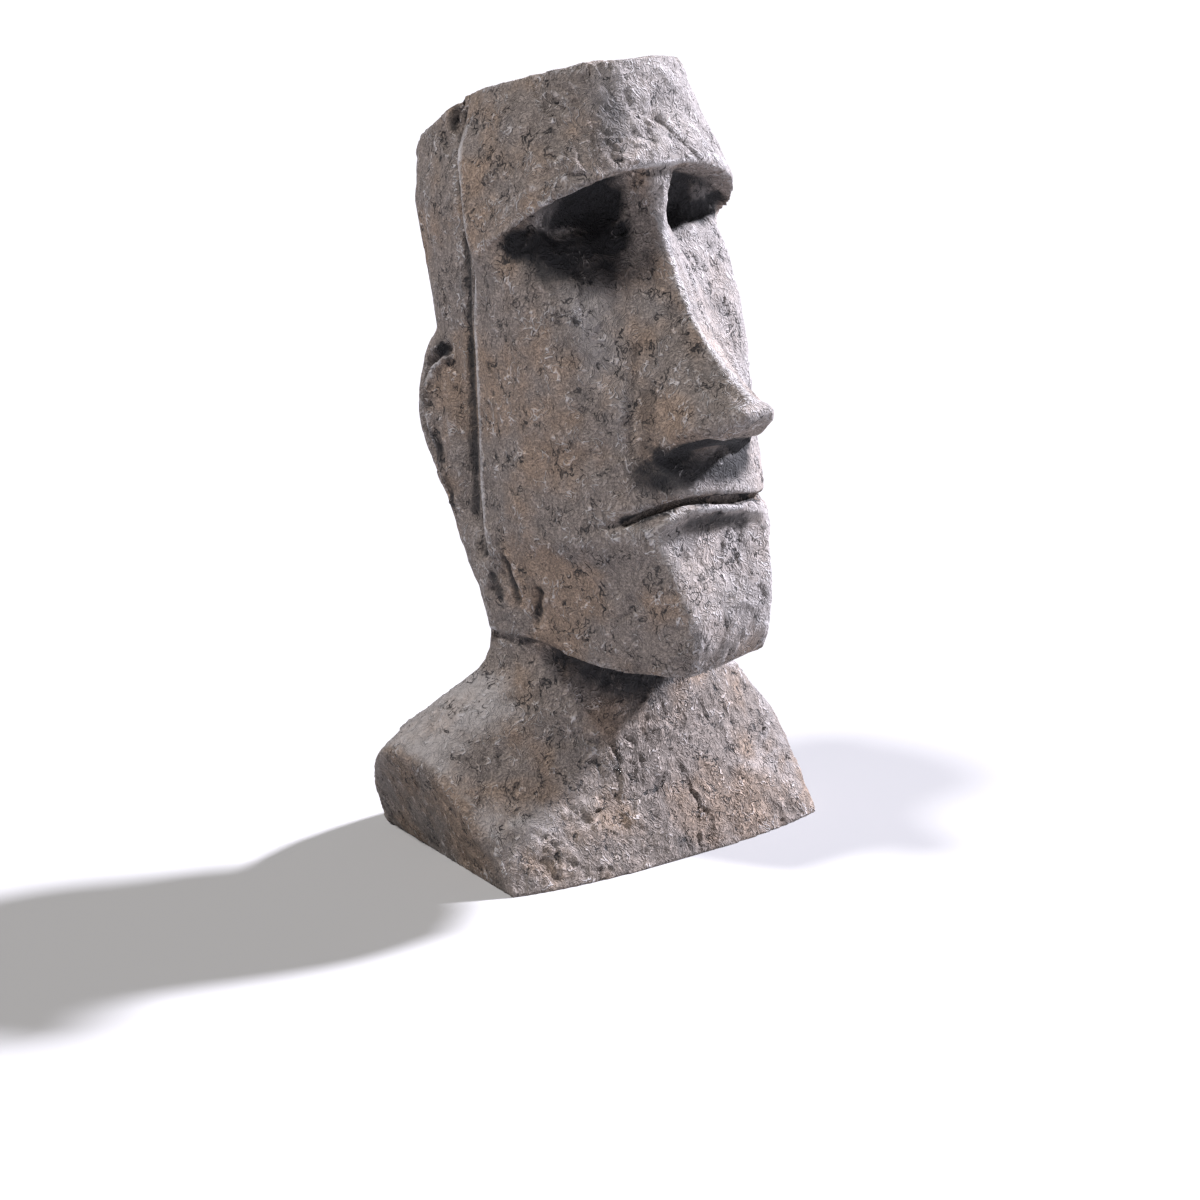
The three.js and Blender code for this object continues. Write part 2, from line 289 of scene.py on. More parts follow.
def far_from(path, co):
    """How far each place is from a path of straight runs, in mm."""
    path = np.array(path, float)
    best = np.full(len(co), np.inf)
    for a, b in zip(path[:-1], path[1:]):
        run = b - a
        t = np.clip((co - a) @ run / (run @ run), 0, 1)
        best = np.minimum(best, np.linalg.norm(co - (a + t[:, None] * run), axis=1))
    return best


def snap(path, side):
    """The path, mirrored if side is -1, with each place moved to the nearest of the skin."""
    places = [np.array((side * x, y, z)) for x, y, z in path]
    return np.array([skin[np.argmin(((skin - p) ** 2).sum(1))] for p in places])


def shifted(path, by):
    """The same path, moved by so many mm."""
    return [tuple(a + b for a, b in zip(place, by)) for place in path]


def carve(path, width, depth, sharp=None, sides=AS_DRAWN):
    """One pass of the tool: depth mm at the middle of the path, fading out at width mm."""
    for side in sides:
        here = snap(path, side)
        inside = np.all((skin > here.min(0) - width) & (skin < here.max(0) + width), axis=1)
        chosen = np.nonzero(inside)[0]
        fade = np.clip(1 - far_from(here, skin[chosen]) / width, 0, 1)
        cut = depth * (fade**sharp if sharp else fade * fade * (3 - 2 * fade))
        skin[chosen] -= cut[:, None] * facing[chosen]


def settle():
    """Gives the moved places to the mesh, reads its normals again and says how far it moved."""
    global facing
    moved = np.linalg.norm(skin - points(head.data), axis=1).max()
    head.data.vertices.foreach_set("co", (skin * MM).astype(np.float32).ravel())
    head.data.update()
    facing = normals(head.data)
    print("the skin moved by up to", round(float(moved), 2), "mm")


skin, facing = points(head.data), normals(head.data)
print("the tool works on", len(skin), "places")

# %% [markdown]
# ## The groove
# A groove runs down each side of the head and parts the face block from the slab behind it.
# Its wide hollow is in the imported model. The tool adds what makes it look cut: a narrow
# floor, a second furrow beside it that shows from the front, and a lip on the block's edge.

# %% Carve the groove
groove_floor = [
    (26.6, 26.2, 204), (27.8, 24.8, 200), (29.2, 23.5, 196), (31.2, 19.2, 189), (32.9, 15.2, 178),
    (33.1, 13.2, 163), (32.9, 14.8, 149), (32.3, 14.8, 120), (32.0, 14.8, 96),
]
groove_side = [
    (26.5, 26.8, 204), (30.0, 26.0, 196), (32.5, 23.0, 189), (34.7, 19.3, 178),
    (34.7, 18.2, 163), (34.8, 18.8, 149), (34.3, 18.8, 120), (34.5, 18.8, 96),
]
groove_lip = [
    (31.3, 19.0, 204), (35.5, 19.0, 196), (38.0, 16.5, 189), (40.2, 12.2, 178),
    (38.8, 9.0, 163), (38.3, 10.4, 149), (37.8, 10.4, 120), (37.4, 10.4, 96),
]
carve(groove_floor, 3.0, 2.0, sides=BOTH)
carve(groove_side, 2.4, 1.0, sides=BOTH)
carve(groove_lip, 2.0, -0.35, sides=BOTH)
settle()
print("the groove runs from", groove_floor[0][2], "down to", groove_floor[-1][2], "mm")

# %% [markdown]
# ## Brow and cheeks
# The sockets are deep and black, because the brow hangs over them. Wide passes hollow them
# further behind the brow's edge, on each side of the nose. One more wide pass under each
# socket lets the cheek run flat down to the mouth.

# %% Carve the brow and the cheeks
for side in BOTH:
    carve([(side * 25, -8, 176), (side * 19, -7, 179), (side * 12, -10, 180)], 8.0, 2.4)
    carve([(side * 12, -12, 184), (side * 8, -13, 184)], 5.0, 1.4)
settle()
carve([(24, -12, 164), (20.5, -20, 152), (21, -24, 140)], 11.0, 1.9, sides=BOTH)
settle()

# %% [markdown]
# ## The nose
# The nose was pinched between finger and thumb: a roll of clay goes on along its ridge, and
# its flanks are pressed in beside it. A thin pass sets its foot off from the cheek, and a
# short deep one makes each nostril.

# %% Carve the nose
ridge = [
    (0, -21.0, 178), (0, -23.5, 169), (0, -29, 160), (0, -38, 149), (0, -48, 140), (0, -57, 134),
]
nose_foot = [(15.0, -29, 146), (17.5, -30.5, 137), (20.0, -31.5, 128), (21.0, -33.5, 119)]
carve(ridge, 3.4, -1.1, sharp=1.2)
carve(shifted(ridge[1:], (4.6, 2.4, -0.6)), 4.4, 0.8, sides=BOTH)
settle()
carve(nose_foot, 2.6, 0.9, sides=BOTH)
carve([(11.5, -44, 118), (8.5, -49, 120.5)], 5.0, 2.4, sides=BOTH)
print("the ridge is", ridge[0][2] - ridge[-1][2], "mm high")

# %% [markdown]
# ## Mouth and jaw
# The mouth is one cut of a blade between thin lips, a little crooked, so a formula gives its
# line: it is highest on the head's right and falls to both ends. A thin roll below it is the
# edge of the lower lip. The jaw line is a fine cut where the head meets the neck.


# %% Carve the mouth and the jaw
def lip_line(x):
    """Where the lips meet, x mm to the head's left."""
    off = x + 6
    fall = 0.0145 * off**2 if off < 0 else 0.18 * off**2 / (off + 4)
    return (x, -43 + 0.0155 * x * x, 105.6 - fall)


slit = [lip_line(x) for x in range(-24, 29, 4)]
lower_lip = shifted(slit[1:-2], (0, -0.5, -2.3))
jaw_line = [(35.0, 13, 62.6), (33.5, 4, 62.3), (31.5, -3, 61.8), (29.0, -10, 59.8)]
carve(slit, 1.6, 1.4)
carve(lower_lip, 1.6, -0.5)
settle()
carve(jaw_line, 1.8, 1.0, sides=BOTH)
settle()
print("the mouth is", slit[-1][0] - slit[0][0], "mm wide")

# %% [markdown]
# ## Ears
# The ears are long and flat against the slab. Each has an outer rim, which is the packed
# model's own edge, then a fold, then a thin inner rim that was laid on as a roll of clay.

# %% Carve the ears
ear_rim = [
    (35.8, 25.6, 139.4), (36.6, 29.0, 138.4), (37.2, 32.6, 135.6), (38.0, 34.4, 131.0),
    (38.6, 34.6, 125.5), (38.8, 33.6, 116.0), (38.2, 31.0, 106.0), (37.0, 28.0, 98.0),
]
ear_fold = shifted(ear_rim, (0, 2.6, 1.4))
carve(ear_fold, 2.6, 2.4, sides=BOTH)
carve(ear_rim, 1.7, -1.2, sides=BOTH)
settle()
print("the ear's inner rim is", round(ear_rim[0][2] - ear_rim[-1][2], 1), "mm high")

# %% [markdown]
# ## Faults of the casting
# Only the head's right has them: a notch in the crown, a pit at the foot of the groove, a
# long gouge, a shallow scoop and a leaf-shaped cut toward the jaw. A broad shallow scrape runs
# down the chest by the shoulder. The pits are kept in a list, because painted shade goes in them.

# %% Carve the faults
pits = [  # path, width and depth
    ([(-29.5, 30.8, 207), (-30.0, 30.6, 201)], 3.4, 3.4),
    ([(-36.6, 12.6, 90), (-36.6, 11.8, 86.5)], 3.0, 2.2),
    ([(-35.8, 4.6, 86), (-35.0, 3.0, 81), (-34.0, 1.0, 75)], 2.0, 1.3),
    ([(-36.2, 9.2, 80.5), (-35.6, 7.8, 75.5)], 3.4, 0.9),
    ([(-32.4, -6.4, 78), (-32.0, -4.6, 70.5)], 2.8, 1.7),
]
for path, width, depth in pits:
    carve(path, width, depth)
carve([(-50, -1, 31), (-51, -4, 27), (-52.5, -6, 23)], 4.5, 0.9)
carve([(-31.8, -4.2, 69.5), (-32.2, -4.6, 66.5)], 1.2, 0.6)
settle()
print(len(pits), "pits")

# %% [markdown]
# ## The clay skin
# The original was pressed and scraped clay, and that is most of what the eye sees. Four
# kinds of mark make it, each from a seeded noise that is worked out at every vertex:
#
# - **swell**, the slow unevenness of planes that were flattened by hand;
# - **flakes**, thin sheets that were pressed on, each tipped its own way;
# - **chips**, the same at half the size, between and across the flakes;
# - **rolls**, short fine worms of clay that the tool pushed up.
#
# A Displace modifier with a cloud texture could give the swell, but not sheets with a step
# between them, and it couldn't be told where to run upright. So the noise is written here.

# %% [markdown]
# ## Noise
# Smooth noise and plates are both needed, and both start from a lattice: a grid of cubes,
# with a random direction at each corner that depends only on the corner and a seed. Noise
# blends between the corners of a cube. Plates don't blend: each place belongs to the nearest
# of its neighbouring centres, and that centre tips and lifts it, so there is a step where two
# plates meet.


# %% Noise
FAR_OFF = 1000.0  # keeps all cell numbers above zero
PERLIN_GAIN = 1.4  # brings gradient noise to about -1 to 1


def lattice(corner, seed):
    """A repeatable random direction for each corner of a grid of cubes."""
    primes = (73856093, 19349663, 83492791)
    h = np.full(len(corner), seed * 2654435761 % 2**32, np.uint64)
    for axis, prime in enumerate(primes):
        h ^= corner[:, axis].astype(np.uint64) * np.uint64(prime)
    h &= np.uint64(0xFFFFFFFF)
    for shift, factor in ((15, 2246822519), (13, 3266489917)):
        h = ((h ^ (h >> np.uint64(shift))) * np.uint64(factor)) & np.uint64(0xFFFFFFFF)
    h ^= h >> np.uint64(16)
    parts = [(h >> np.uint64(shift)) & np.uint64(1023) for shift in (0, 10, 20)]
    return np.stack(parts, 1).astype(np.float64) / 511.5 - 1.0


def noise(co, size, seed):
    """Smooth noise from about -1 to 1, size mm from one swelling to the next."""
    q = co / size + FAR_OFF
    cell = np.floor(q)
    f = q - cell
    cell = cell.astype(np.int64)
    w = f * f * f * (f * (f * 6 - 15) + 10)
    total = np.zeros(len(co))
    for corner in np.ndindex(2, 2, 2):
        d = np.array(corner)
        slope = np.einsum("ij,ij->i", lattice(cell + d, seed), f - d)
        total += slope * np.prod(np.where(d == 1, w, 1 - w), axis=1)
    return total * PERLIN_GAIN


def plates(co, size, seed):
    """Plates of about size mm, each tipped and lifted its own way: -1 to 1."""
    q = co / size + FAR_OFF
    cell = np.floor(q).astype(np.int64)
    nearest, height = np.full(len(co), np.inf), np.zeros(len(co))
    for neighbour in np.ndindex(3, 3, 3):
        corner = cell + (np.array(neighbour) - 1)
        offset = q - (corner + 0.5 + 0.42 * lattice(corner, seed))
        distance = np.einsum("ij,ij->i", offset, offset)
        chosen = np.nonzero(distance < nearest)[0]
        nearest[chosen] = distance[chosen]
        tip = lattice(corner[chosen], seed + 1)
        height[chosen] = 0.9 * np.einsum("ij,ij->i", tip, offset[chosen]) + 0.6 * tip[:, 0]
    return np.clip(height, -1, 1)


sample = noise(skin[::50], 5.0, 1)
print("noise runs from", sample.min().round(2), "to", sample.max().round(2))

# %% [markdown]
# ## Worked clay
# The marks are put together here. Places are first pushed about by a slow swirl and a quick
# ragged noise, so that no plate keeps a straight edge. Rolls lie where a noise is near zero,
# because that draws lines, and another noise breaks them into short pieces. Some places are
# busier than others, as they are under any thumb.


# %% Worked clay
def along(co, direction, long):
    """The same places with one direction pressed together, so that marks run along it."""
    d = np.array(direction, float)
    d /= np.linalg.norm(d)
    return co - np.outer(co @ d * (1 - 1 / long), d)


def clay(co, seed, size):
    """Height of the worked clay in mm, about -0.6 to 0.9, at places co."""
    swirl = np.stack([noise(co, 13.0 * size, seed + k) for k in (1, 2, 3)], 1)
    ragged = np.stack([noise(co, 2.2 * size, seed + k) for k in (4, 5, 6)], 1)
    torn = co + 6.0 * size * swirl + 0.8 * size * ragged
    flakes = plates(torn, 5.2 * size, seed + 7)
    chips = plates(torn + 3.1, 2.7 * size, seed + 9)
    flow = along(co + 9.0 * size * swirl + 0.5 * size * ragged, (0.5, 0.3, 1), 2.6)
    rolls = 1 - np.minimum(np.abs(noise(flow, 2.3 * size, seed + 11)) / 0.3, 1)
    broken = step(noise(co, 5.0 * size, seed + 12), -0.1, 0.3)
    busy = 0.55 + 0.6 * step(noise(co, 9.0 * size, seed + 14), -0.3, 0.3)
    return busy * (0.36 * flakes + 0.2 * chips + 0.26 * rolls * broken)


sample = clay(skin[::50], 20, 1.1)
print("clay runs from", sample.min().round(2), "to", sample.max().round(2), "mm")

# %% [markdown]
# ## Roughen the skin
# Behind the groove and on the ears the marks run upright, on the brow they slant, and along
# the far side of the nose they follow the ridge. So the clay is worked out four times, each
# drawn out in its own direction, and weights that fade into each other say which one counts
# where. The base gets larger flakes on top.
#
# Real displaced geometry is used for all that is wider than a millimetre, because a low
# light then throws true shadows. It is held back near the edges, on the flat cheek and at
# the ends of the brow, and it fades out at the foot, so that the head stands flat.

# %% Where the marks run
x, y, z = skin.T
slanted = step(z, 186, 194) * (1 - step(y, -2, 12))
upright = step(y, 9, 16) * step(z, 60, 75) * (1 - slanted)
nose_run = step(x, 0.5, 4) * step(-y, 14, 22) * step(z, 118, 124) * (1 - step(z, 178, 186))
plain = np.clip(1 - upright - slanted - nose_run, 0, 1)
low_down = 1 - step(z, 46, 58)
heights = np.zeros(len(skin))
for share, where, direction, long, seed, size in (
    (1.0, plain, (0, 0.2, 1), 1.25, 20, 1.1),
    (1.0, upright, (0, 0.12, 1), 3.0, 40, 1.1),
    (1.0, slanted, (0.6, 0, -0.8), 2.0, 60, 1.1),
    (1.0, nose_run, (0, -0.62, -0.78), 3.2, 80, 1.1),
    (0.5, low_down, (0.15, -0.25, 1), 1.9, 100, 1.7),
):
    chosen = np.nonzero(where > 0.001)[0]
    drawn_out = along(skin[chosen], direction, long)
    heights[chosen] += share * where[chosen] * clay(drawn_out, seed, size)
print("clay marks from", heights.min().round(2), "to", heights.max().round(2), "mm")

# %% How strong the marks are
RELIEF, SWELL = 1.05, 0.6
PROUD = 0.4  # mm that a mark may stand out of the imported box
FLAT_FOOT = 0.35  # mm: what is lower than this is the underside
swell = 0.55 * noise(skin, 19, 120) + 0.3 * noise(skin, 9.5, 121)
bold = np.maximum(step(z, 182, 190), 0.25 * (1 - step(z, 50, 62)))
cheek = step(-y, -8, 2) * step(z, 62, 70) * (1 - step(z, 160, 176)) * (1 - nose_run)
cut_ends = step(np.abs(x), 49, 53) * (1 - step(z, 40, 46))
quiet = np.maximum(cheek * np.where(x < 0, 0.8, 0.4), cut_ends)
brow_end = np.exp(-(((np.abs(x) - 39) / 5) ** 2 + ((y + 2) / 6) ** 2 + ((z - 184) / 6) ** 2))
strong = (1.0 + 0.6 * bold - 0.45 * quiet) * (0.4 + 0.6 * step(to_edge, 0.5, 3.0))
strong *= 1 - 0.9 * brow_end
above_foot = step(z, 0.0, 2.5)
lift = (RELIEF * heights * strong + SWELL * swell) * above_foot
print("the marks lift the skin by", lift.min().round(2), "to", lift.max().round(2), "mm")
skin = skin + lift[:, None] * facing
skin[:, 2] = np.where(z < FLAT_FOOT, 0.0, np.maximum(skin[:, 2], 0.0))
skin = np.clip(skin, low - PROUD, high + PROUD)
settle()

# %% [markdown]
# ## A lighter net
# The remesh left far more squares than the shape needs. Collapse decimation throws away those
# that a plane can spare and keeps them along the marks, so nothing that can be seen is lost.

# %% Thin the net
LIMIT = 196000
before = sum(len(p.vertices) - 2 for p in head.data.polygons)
if before > LIMIT:
    thin = head.modifiers.new("thin", "DECIMATE")
    thin.ratio = LIMIT / before
    bpy.ops.object.modifier_apply(modifier="thin")
print("triangles", before, "->", sum(len(p.vertices) - 2 for p in head.data.polygons))

# %% [markdown]
# ## Hollows and crests
# Shade and light are painted on as well: near-black paint goes into every hollow as painted
# shade, and pale grey onto what stands out as painted highlight. Both follow the shape, so the
# shape is measured: each vertex is compared with a smoothed copy of its neighbourhood. Below
# that it lies in a hollow, above it on a crest. Two sizes of neighbourhood are measured, one
# for the fine marks and one for the eyes, the chin and the groove.
#
# The Geometry node's Pointiness does this in a material, but only in one size and only in
# Cycles. An attribute stays with the mesh, in as many sizes as are needed.


# %% Measure hollows and crests
def smoothed(values, turns):
    """Averages values over neighbouring vertices, turns times."""
    count = np.bincount(ends.ravel(), minlength=len(values)).astype(float)
    out = values.copy()
    for _ in range(turns):
        for k in range(out.shape[1]):
            total = np.bincount(ends[:, 0], out[ends[:, 1], k], len(out))
            total += np.bincount(ends[:, 1], out[ends[:, 0], k], len(out))
            out[:, k] = 0.5 * out[:, k] + 0.5 * total / count
    return out


def keep(name, values):
    """Keeps one number for each vertex, where the material can read it."""
    layer = head.data.attributes.new(name, "FLOAT", "POINT")
    layer.data.foreach_set("value", values.astype(np.float32))


FINE_FULL, WIDE_FULL = 0.22, 3.2  # mm of hollow that count as fully deep
skin, facing = points(head.data), normals(head.data)
ends = np.empty(len(head.data.edges) * 2, np.int32)
head.data.edges.foreach_get("vertices", ends)
ends = ends.reshape(-1, 2)
near = smoothed(skin, 8)
wide = smoothed(near, 260)
outward = smoothed(facing, 6)
fine_hollow = np.einsum("ij,ij->i", near - skin, outward)
wide_hollow = np.einsum("ij,ij->i", wide - near, outward)
fine_hollow = smoothed(fine_hollow[:, None], 1)[:, 0]
keep("crease", np.clip(fine_hollow / FINE_FULL, -1, 1))
# painted shade: the wider hollows go dark
recess = np.clip(smoothed(wide_hollow[:, None], 6)[:, 0] / WIDE_FULL, -1, 1)
print("fine", np.percentile(fine_hollow, [2, 50, 98]).round(3))
print("wide", np.percentile(wide_hollow, [2, 50, 98]).round(3))

# %% [markdown]
# ## Strokes of painted shade
# Measured hollows alone give an even, timid painted shade. So more of it is laid on along
# paths, as the carving was: solid in the middle for the sockets and the nostrils, soft all the
# way for the shade under the brow and the chin. A noise frays their edges. The head's right
# gets more of it.


# %% Paint the shade on
SOFT = 0.0  # a stroke that fades from its very middle


def wash_on(path, width, strength, sides=BOTH, full=0.3):
    """Near-black painted shade along a path: solid to a share full of the width, gone at the
    width.
    """
    for side in sides:
        distance = far_from(snap(path, side), skin) + frayed
        np.maximum(recess, strength * (1 - step(distance, full * width, width)), out=recess)


frayed = 1.6 * noise(skin, 5.0, 140) + 0.9 * noise(skin, 1.7, 141)
# painted shade in the sockets: the right, the left, and the shade that runs out below the right
# one
wash_on([(33, -4, 172), (25, -10, 169), (17, -10, 171), (10, -13, 173)], 8.0, 0.92, MIRRORED)
wash_on([(33, -4, 177), (25, -8, 176), (17, -9, 177), (10, -12, 178)], 6.5, 0.92, AS_DRAWN)
wash_on([(31, -12, 167), (22, -15, 165), (14, -16, 167)], 13.0, 0.8, MIRRORED, SOFT)
# painted shade under the nose and on the upper lip
wash_on([(13, -38, 117), (8, -46, 119), (0, -50, 121)], 8.0, 0.95)
wash_on([(12, -40, 114), (0, -43, 114)], 10.0, 0.95, BOTH, SOFT)
wash_on([(18, -36, 114), (14, -39, 111)], 10.0, 0.85, MIRRORED, SOFT)
# painted shade on the throat, the underside of the chin and the lower lip
wash_on([(20, -4, 60), (12, -11, 52), (0, -12, 48)], 16.0, 0.85, BOTH, SOFT)
wash_on([(14, -30, 58), (0, -38, 60)], 9.0, 0.8)
wash_on([(9, -40, 99), (0, -42, 100)], 4.5, 0.6)
# painted shade where the forehead turns away, and on the far side of the nose's tip
wash_on([(-11, -17, 208), (-12, -17, 202), (-16, -15, 196)], 12.0, 0.6, AS_DRAWN, SOFT)
wash_on([(3, -59, 127), (8, -53, 124)], 6.0, 0.4, AS_DRAWN, SOFT)
# painted shade in what was carved
wash_on(groove_floor, 4.0, 0.9)
wash_on(groove_side, 2.6, 0.65)
wash_on(ear_fold, 3.0, 0.8)
wash_on([(16, -34, 135), (18, -35, 122)], 4.0, 0.45)
wash_on(slit, 1.7, 0.9, AS_DRAWN)
wash_on(jaw_line, 2.0, 0.6)
for path, width, depth in pits:
    wash_on(path, 2.4, 0.65, AS_DRAWN)
# painted shade: the foot a little darker all round, but not what faces up
foot = (1 - step(skin[:, 2], 14, 56)) * (1 - step(facing[:, 2], 0.5, 0.75))
recess = np.maximum(recess, 0.3 * foot)
keep("recess", recess)
print(round(float((recess > 0.5).mean()) * 100), "% of the skin is deep in wash")

# %% [markdown]
# ## Where the painted highlights and light go
# Pale paint goes on edges as painted highlight, so the rims that were carved, the ridge of the
# nose and the edge of the brow are kept as one mask. It also lies flat, as painted light, over
# the planes of the face that look forward and over the tops of the shoulders: a second mask.
# The right cheek was smoothed with a wet finger, so its bump is weaker: that is **rough**.

# %% Rims, lit fronts and calm places
brow_edge = [
    (38, -2, 180), (36, -4.5, 184), (33, -10, 188), (28, -15, 190.5), (18, -20, 192.5),
    (0, -23, 193),
]
# painted highlight along the carved rims, the nose's ridge and the brow's edge
rim = np.zeros(len(skin))
for path, sides in (
    (groove_lip, BOTH), (ear_rim, BOTH), (ridge, AS_DRAWN), (brow_edge, BOTH),
    (lower_lip, AS_DRAWN),
):
    for side in sides:
        distance = far_from(snap(path, side), skin) + 0.25 * frayed
        rim = np.maximum(rim, 1 - step(distance, 0.5, 1.5))
keep("rim", rim)
x, y, z = skin.T
# painted light on planes that look forward, which the key lamp lights at a slant, and on shoulder
# tops that face up
forward = smoothed(facing, 30) @ np.array([0.34, -0.92, 0.2])
front = step(forward, 0.45, 0.95) * step(z, 50, 75)
upward = smoothed(facing, 12)[:, 2]
shoulder = step(upward, 0.45, 0.75) * (1 - step(z, 56, 70)) * step(np.abs(x), 18, 34)
keep("front", np.maximum(front, 1.2 * shoulder))
calm = step(-x, 3, 9) * step(-y, -8, 0) * step(z, 60, 68) * (1 - step(z, 156, 168))
keep("rough", 1 - 0.6 * calm)
print("rims on", round(float((rim > 0.5).mean()) * 100, 1), "% of the skin")

# %% [markdown]
# ## Paint
# The stone is one material. Its parts are node groups, so each can be read, and tuned, alone:
# the clay skin that is too fine for the net, the mottled grey-brown body, and the painted shade
# and painted highlight. They all work in millimetres on the piece's own coordinates.
#
# A node group is built in three moves: name its sockets, add nodes, link them. The helpers
# below keep each of those to one line.


# %% Node helpers
def group(name, inputs, outputs):
    """A shader node group with named sockets; returns its tree, its input and its output."""
    tree = bpy.data.node_groups.new(name, "ShaderNodeTree")
    for label, kind, value in inputs:
        socket_type = "NodeSocket" + kind
        item = tree.interface.new_socket(label, in_out="INPUT", socket_type=socket_type)
        if value is not None:
            item.default_value = value
    for label, kind in outputs:
        tree.interface.new_socket(label, in_out="OUTPUT", socket_type="NodeSocket" + kind)
    return tree, tree.nodes.new("NodeGroupInput"), tree.nodes.new("NodeGroupOutput")


def feed(tree, socket, value):
    """Links a socket to another, or fills it with a fixed value."""
    if isinstance(value, bpy.types.NodeSocket):
        tree.links.new(value, socket)
    else:
        socket.default_value = value


def node(tree, kind, settings=None, **inputs):
    """Adds a node. Inputs go by name, with _ for a space, or as i0, i1... by number."""
    made = tree.nodes.new("ShaderNode" + kind)
    for key, value in (settings or {}).items():
        setattr(made, key, value)
    for key, value in inputs.items():
        by_number = key[0] == "i" and key[1:].isdigit()
        feed(tree, made.inputs[int(key[1:]) if by_number else key.replace("_", " ")], value)
    return made


def use(tree, which, **inputs):
    """Adds a node group to a material."""
    made = tree.nodes.new("ShaderNodeGroup")
    made.node_tree = which
    for key, value in inputs.items():
        feed(tree, made.inputs[key], value)
    return made.outputs


def maths(tree, what, a, b=0.0):
    return node(tree, "Math", {"operation": what}, i0=a, i1=b).outputs[0]


def vectors(tree, what, a, b):
    return node(tree, "VectorMath", {"operation": what}, i0=a, i1=b)


def plus(tree, value, share, total):
    """The total plus a share of the value."""
    made = node(tree, "Math", {"operation": "MULTIPLY_ADD"}, i0=value, i1=share, i2=total)
    return made.outputs[0]


def ramp(tree, value, start, end, low_value=0.0, high_value=1.0):
    """Smooth rise of a value from start to end."""
    made = node(
        tree, "MapRange", {"interpolation_type": "SMOOTHSTEP"}, Value=value,
        From_Min=start, From_Max=end, To_Min=low_value, To_Max=high_value,
    )
    return made.outputs[0]


def blend(tree, share, first, second):
    return node(tree, "Mix", {"data_type": "RGBA"}, i0=share, i6=first, i7=second).outputs[2]


def mottle(tree, place, size, detail=1.0, rough=0.5):
    """Noise of that size in mm; its first output is a value, its Color three of them."""
    return node(
        tree, "TexNoise", Vector=place, Scale=1.0 / size, Detail=detail, Roughness=rough
    ).outputs


def lines(tree, place, size, width):
    """Thin winding lines, 1 at their middle: where a noise crosses its own mean."""
    from_mean = maths(tree, "SUBTRACT", mottle(tree, place, size)[0], 0.5)
    return ramp(tree, maths(tree, "ABSOLUTE", from_mean), 0.0, width, 1.0, 0.0)


# %% [markdown]
# ## Fine clay
# Marks under a millimetre would need millions of faces, so they are bump. The same clay
# returns smaller: plates with a step between them, fine rolls and wrinkles, thin cracks and
# grit. A Voronoi texture makes the plates. Its Position output is the heart of the cell, and
# its Color is random for each cell, so together they tip each plate its own way. The rolls
# and cracks are also put out on their own, because paint treats them apart.

# %% Fine clay group
clay_skin, inside, outside = group(
    "fine clay",
    [("Place", "Vector", None), ("Size", "Float", 1.0), ("Rough", "Float", 1.0)],
    [("Height", "Float"), ("Roll", "Float"), ("Crack", "Float")],
)
MIDDLE = (0.5, 0.5, 0.5)
place = vectors(clay_skin, "DIVIDE", inside.outputs["Place"], inside.outputs["Size"]).outputs[0]


def pushed(size, amount):
    """The place, pushed about by a noise of that size in mm."""
    push = vectors(clay_skin, "SUBTRACT", mottle(clay_skin, place, size, 2.0)["Color"], MIDDLE)
    return node(
        clay_skin, "VectorMath", {"operation": "MULTIPLY_ADD"},
        i0=push.outputs[0], i1=(amount, amount, amount), i2=place,
    ).outputs[0]


def tipped(where, size):
    """Plates of that size in mm, each tipped and lifted its own way."""
    cells = node(clay_skin, "TexVoronoi", {"feature": "F1"}, Vector=where, Scale=1.0 / size)
    tip = vectors(clay_skin, "SUBTRACT", cells.outputs["Color"], MIDDLE).outputs[0]
    offset = vectors(clay_skin, "SUBTRACT", where, cells.outputs["Position"]).outputs[0]
    slope = vectors(clay_skin, "DOT_PRODUCT", tip, offset).outputs["Value"]
    lift = vectors(clay_skin, "DOT_PRODUCT", tip, (0.5, 0.4, 0.0)).outputs["Value"]
    return plus(clay_skin, slope, 0.5 / size, lift)


torn = pushed(3.0, 3.4)
swirled = node(
    clay_skin, "Mapping", i0=pushed(7.0, 16.0), i2=(0.4, 0.3, 0.0), i3=(1.0, 1.0, 0.36)
).outputs[0]
scratched = node(
    clay_skin, "Mapping", i0=pushed(4.0, 9.0), i1=(30, 0, 0), i2=(0.0, 0.5, 0.9),
    i3=(1.0, 1.0, 0.45),
).outputs[0]
small_sheets = maths(clay_skin, "MULTIPLY", tipped(torn, 2.2), 0.8)
sheets = plus(clay_skin, tipped(torn, 4.4), 1.6, small_sheets)
wrinkle = lines(clay_skin, swirled, 1.5, 0.12)
rolls_here = ramp(clay_skin, mottle(clay_skin, place, 6.0)[0], 0.47, 0.58)
roll = maths(clay_skin, "MULTIPLY", lines(clay_skin, swirled, 2.9, 0.05), rolls_here)
cracks_here = ramp(clay_skin, mottle(clay_skin, torn, 5.5)[0], 0.51, 0.58)
crack = maths(clay_skin, "MULTIPLY", lines(clay_skin, scratched, 3.2, 0.05), cracks_here)
grit = maths(clay_skin, "SUBTRACT", mottle(clay_skin, place, 0.42, 3.0, 0.6)[0], 0.5)
level = plus(clay_skin, sheets, inside.outputs["Rough"], plus(clay_skin, wrinkle, 0.2, 0.42))
for mark, share in ((grit, 0.06), (crack, -0.45), (roll, 0.4)):
    level = plus(clay_skin, mark, share, level)
clay_skin.links.new(level, outside.inputs["Height"])
clay_skin.links.new(plus(clay_skin, wrinkle, 0.35, roll), outside.inputs["Roll"])
clay_skin.links.new(crack, outside.inputs["Crack"])
print("fine clay has", len(clay_skin.nodes), "nodes")
